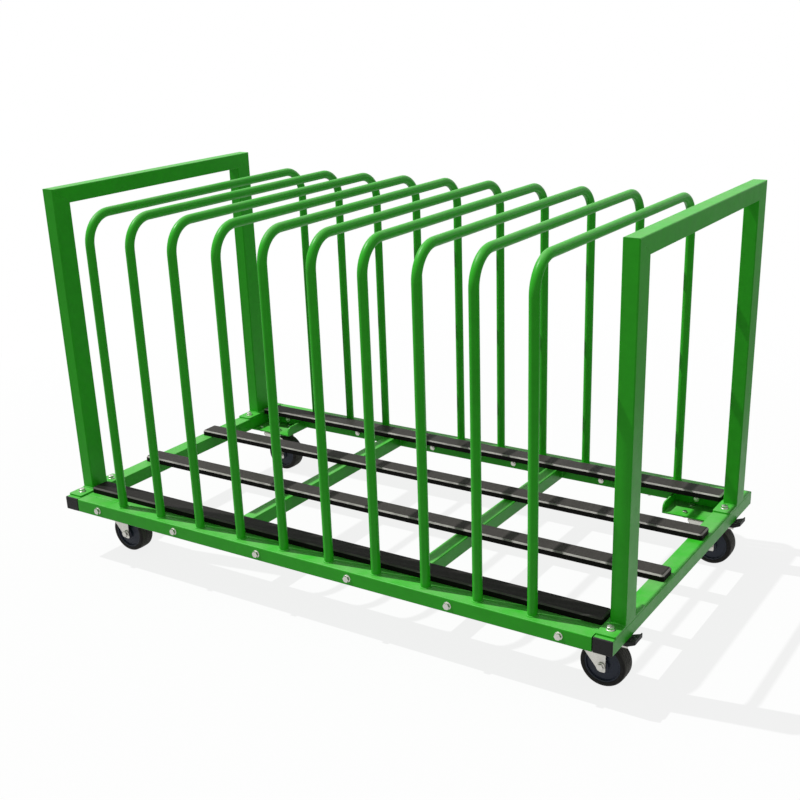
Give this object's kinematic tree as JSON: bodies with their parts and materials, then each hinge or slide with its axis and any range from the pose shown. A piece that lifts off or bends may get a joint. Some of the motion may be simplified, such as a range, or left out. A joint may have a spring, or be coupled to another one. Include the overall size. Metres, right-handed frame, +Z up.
{
  "type": "shelf trolley",
  "caption": "Long low trolley on swivel casters, with bent-tube hoops that divide its bed into bays for boards on edge, and a tube frame at each end.",
  "frame": {"origin": "on the floor, in the middle of the whole trolley's box", "axes": "+X along the trolley towards the end with the brakes, +Y across it from front to rear, +Z up"},
  "size_m": [1.796, 1.017, 1.0928],
  "materials": {
    "green_paint": "satin powder coat",
    "zinc_steel": "bright zinc plate",
    "runner_plastic": "extruded, faint lengthwise lines",
    "black_plastic": "moulded, fine texture",
    "hub_plastic": "moulded, dark blue grey",
    "tyre_rubber": "matte black rubber"
  },
  "bodies": {
    "frame": {"end_beam_left": "green_paint", "cross_member_left": "green_paint", "end_beam_right": "green_paint", "cross_member_right": "green_paint", "hoop_rail_front": "green_paint", "inner_rail_front": "green_paint", "hoop_rail_rear": "green_paint", "inner_rail_rear": "green_paint", "beam_end_plugs": "black_plastic", "hoop_01": "green_paint", "hoop_02": "green_paint", "hoop_03": "green_paint", "hoop_04": "green_paint", "hoop_05": "green_paint", "hoop_06": "green_paint", "hoop_07": "green_paint", "hoop_08": "green_paint", "hoop_09": "green_paint", "hoop_10": "green_paint", "frame_post_left_front": "green_paint", "frame_post_left_rear": "green_paint", "frame_top_bar_left": "green_paint", "frame_post_right_front": "green_paint", "frame_post_right_rear": "green_paint", "frame_top_bar_right": "green_paint", "foot_plates": "green_paint", "runner_front": "runner_plastic", "runner_middle_front": "runner_plastic", "runner_middle_rear": "runner_plastic", "runner_rear": "runner_plastic", "rail_bolts": "zinc_steel", "foot_bolts": "zinc_steel", "frame_nuts": "zinc_steel", "runner_screws": "zinc_steel", "caster_mount_plates": "green_paint", "caster_top_plates": "zinc_steel", "caster_kingpins": "zinc_steel", "swivel_races": "zinc_steel", "caster_bolts": "zinc_steel", "caster_nuts": "zinc_steel"},
    "fork_left_front": {"caster_fork_left_front": "zinc_steel", "caster_axle_left_front": "zinc_steel"},
    "wheel_left_front": {"wheel_hub_left_front": "hub_plastic", "wheel_tyre_left_front": "tyre_rubber"},
    "fork_left_rear": {"caster_fork_left_rear": "zinc_steel", "caster_axle_left_rear": "zinc_steel"},
    "wheel_left_rear": {"wheel_hub_left_rear": "hub_plastic", "wheel_tyre_left_rear": "tyre_rubber"},
    "fork_right_front": {"caster_fork_right_front": "zinc_steel", "caster_axle_right_front": "zinc_steel"},
    "wheel_right_front": {"wheel_hub_right_front": "hub_plastic", "wheel_tyre_right_front": "tyre_rubber"},
    "brake_right_front": {"brake_shoe_right_front": "zinc_steel", "brake_pedal_right_front": "black_plastic"},
    "fork_right_rear": {"caster_fork_right_rear": "zinc_steel", "caster_axle_right_rear": "zinc_steel"},
    "wheel_right_rear": {"wheel_hub_right_rear": "hub_plastic", "wheel_tyre_right_rear": "tyre_rubber"},
    "brake_right_rear": {"brake_shoe_right_rear": "zinc_steel", "brake_pedal_right_rear": "black_plastic"}
  },
  "joints": [
    {"name": "swivel_left_front", "type": "hinge", "parent": "frame", "child": "fork_left_front", "pos_m": [-0.79304, -0.38, 0.131], "axis": [0, 0, 1], "continuous": true},
    {"name": "spin_left_front", "type": "hinge", "parent": "fork_left_front", "child": "wheel_left_front", "pos_m": [-0.75304, -0.38, 0.06], "axis": [0, 1, 0], "continuous": true},
    {"name": "swivel_left_rear", "type": "hinge", "parent": "frame", "child": "fork_left_rear", "pos_m": [-0.79304, 0.38, 0.131], "axis": [0, 0, 1], "continuous": true},
    {"name": "spin_left_rear", "type": "hinge", "parent": "fork_left_rear", "child": "wheel_left_rear", "pos_m": [-0.75304, 0.38, 0.06], "axis": [0, 1, 0], "continuous": true},
    {"name": "swivel_right_front", "type": "hinge", "parent": "frame", "child": "fork_right_front", "pos_m": [0.77697, -0.38, 0.131], "axis": [0, 0, 1], "continuous": true},
    {"name": "spin_right_front", "type": "hinge", "parent": "fork_right_front", "child": "wheel_right_front", "pos_m": [0.81697, -0.38, 0.06], "axis": [0, 1, 0], "continuous": true},
    {"name": "brake_right_front", "type": "hinge", "parent": "fork_right_front", "child": "brake_right_front", "pos_m": [0.85103, -0.38, 0.12388], "axis": [0, 1, 0], "range_deg": [0, 28]},
    {"name": "swivel_right_rear", "type": "hinge", "parent": "frame", "child": "fork_right_rear", "pos_m": [0.77697, 0.38, 0.131], "axis": [0, 0, 1], "continuous": true},
    {"name": "spin_right_rear", "type": "hinge", "parent": "fork_right_rear", "child": "wheel_right_rear", "pos_m": [0.81697, 0.38, 0.06], "axis": [0, 1, 0], "continuous": true},
    {"name": "brake_right_rear", "type": "hinge", "parent": "fork_right_rear", "child": "brake_right_rear", "pos_m": [0.85103, 0.38, 0.12388], "axis": [0, 1, 0], "range_deg": [0, 28]}
  ]
}
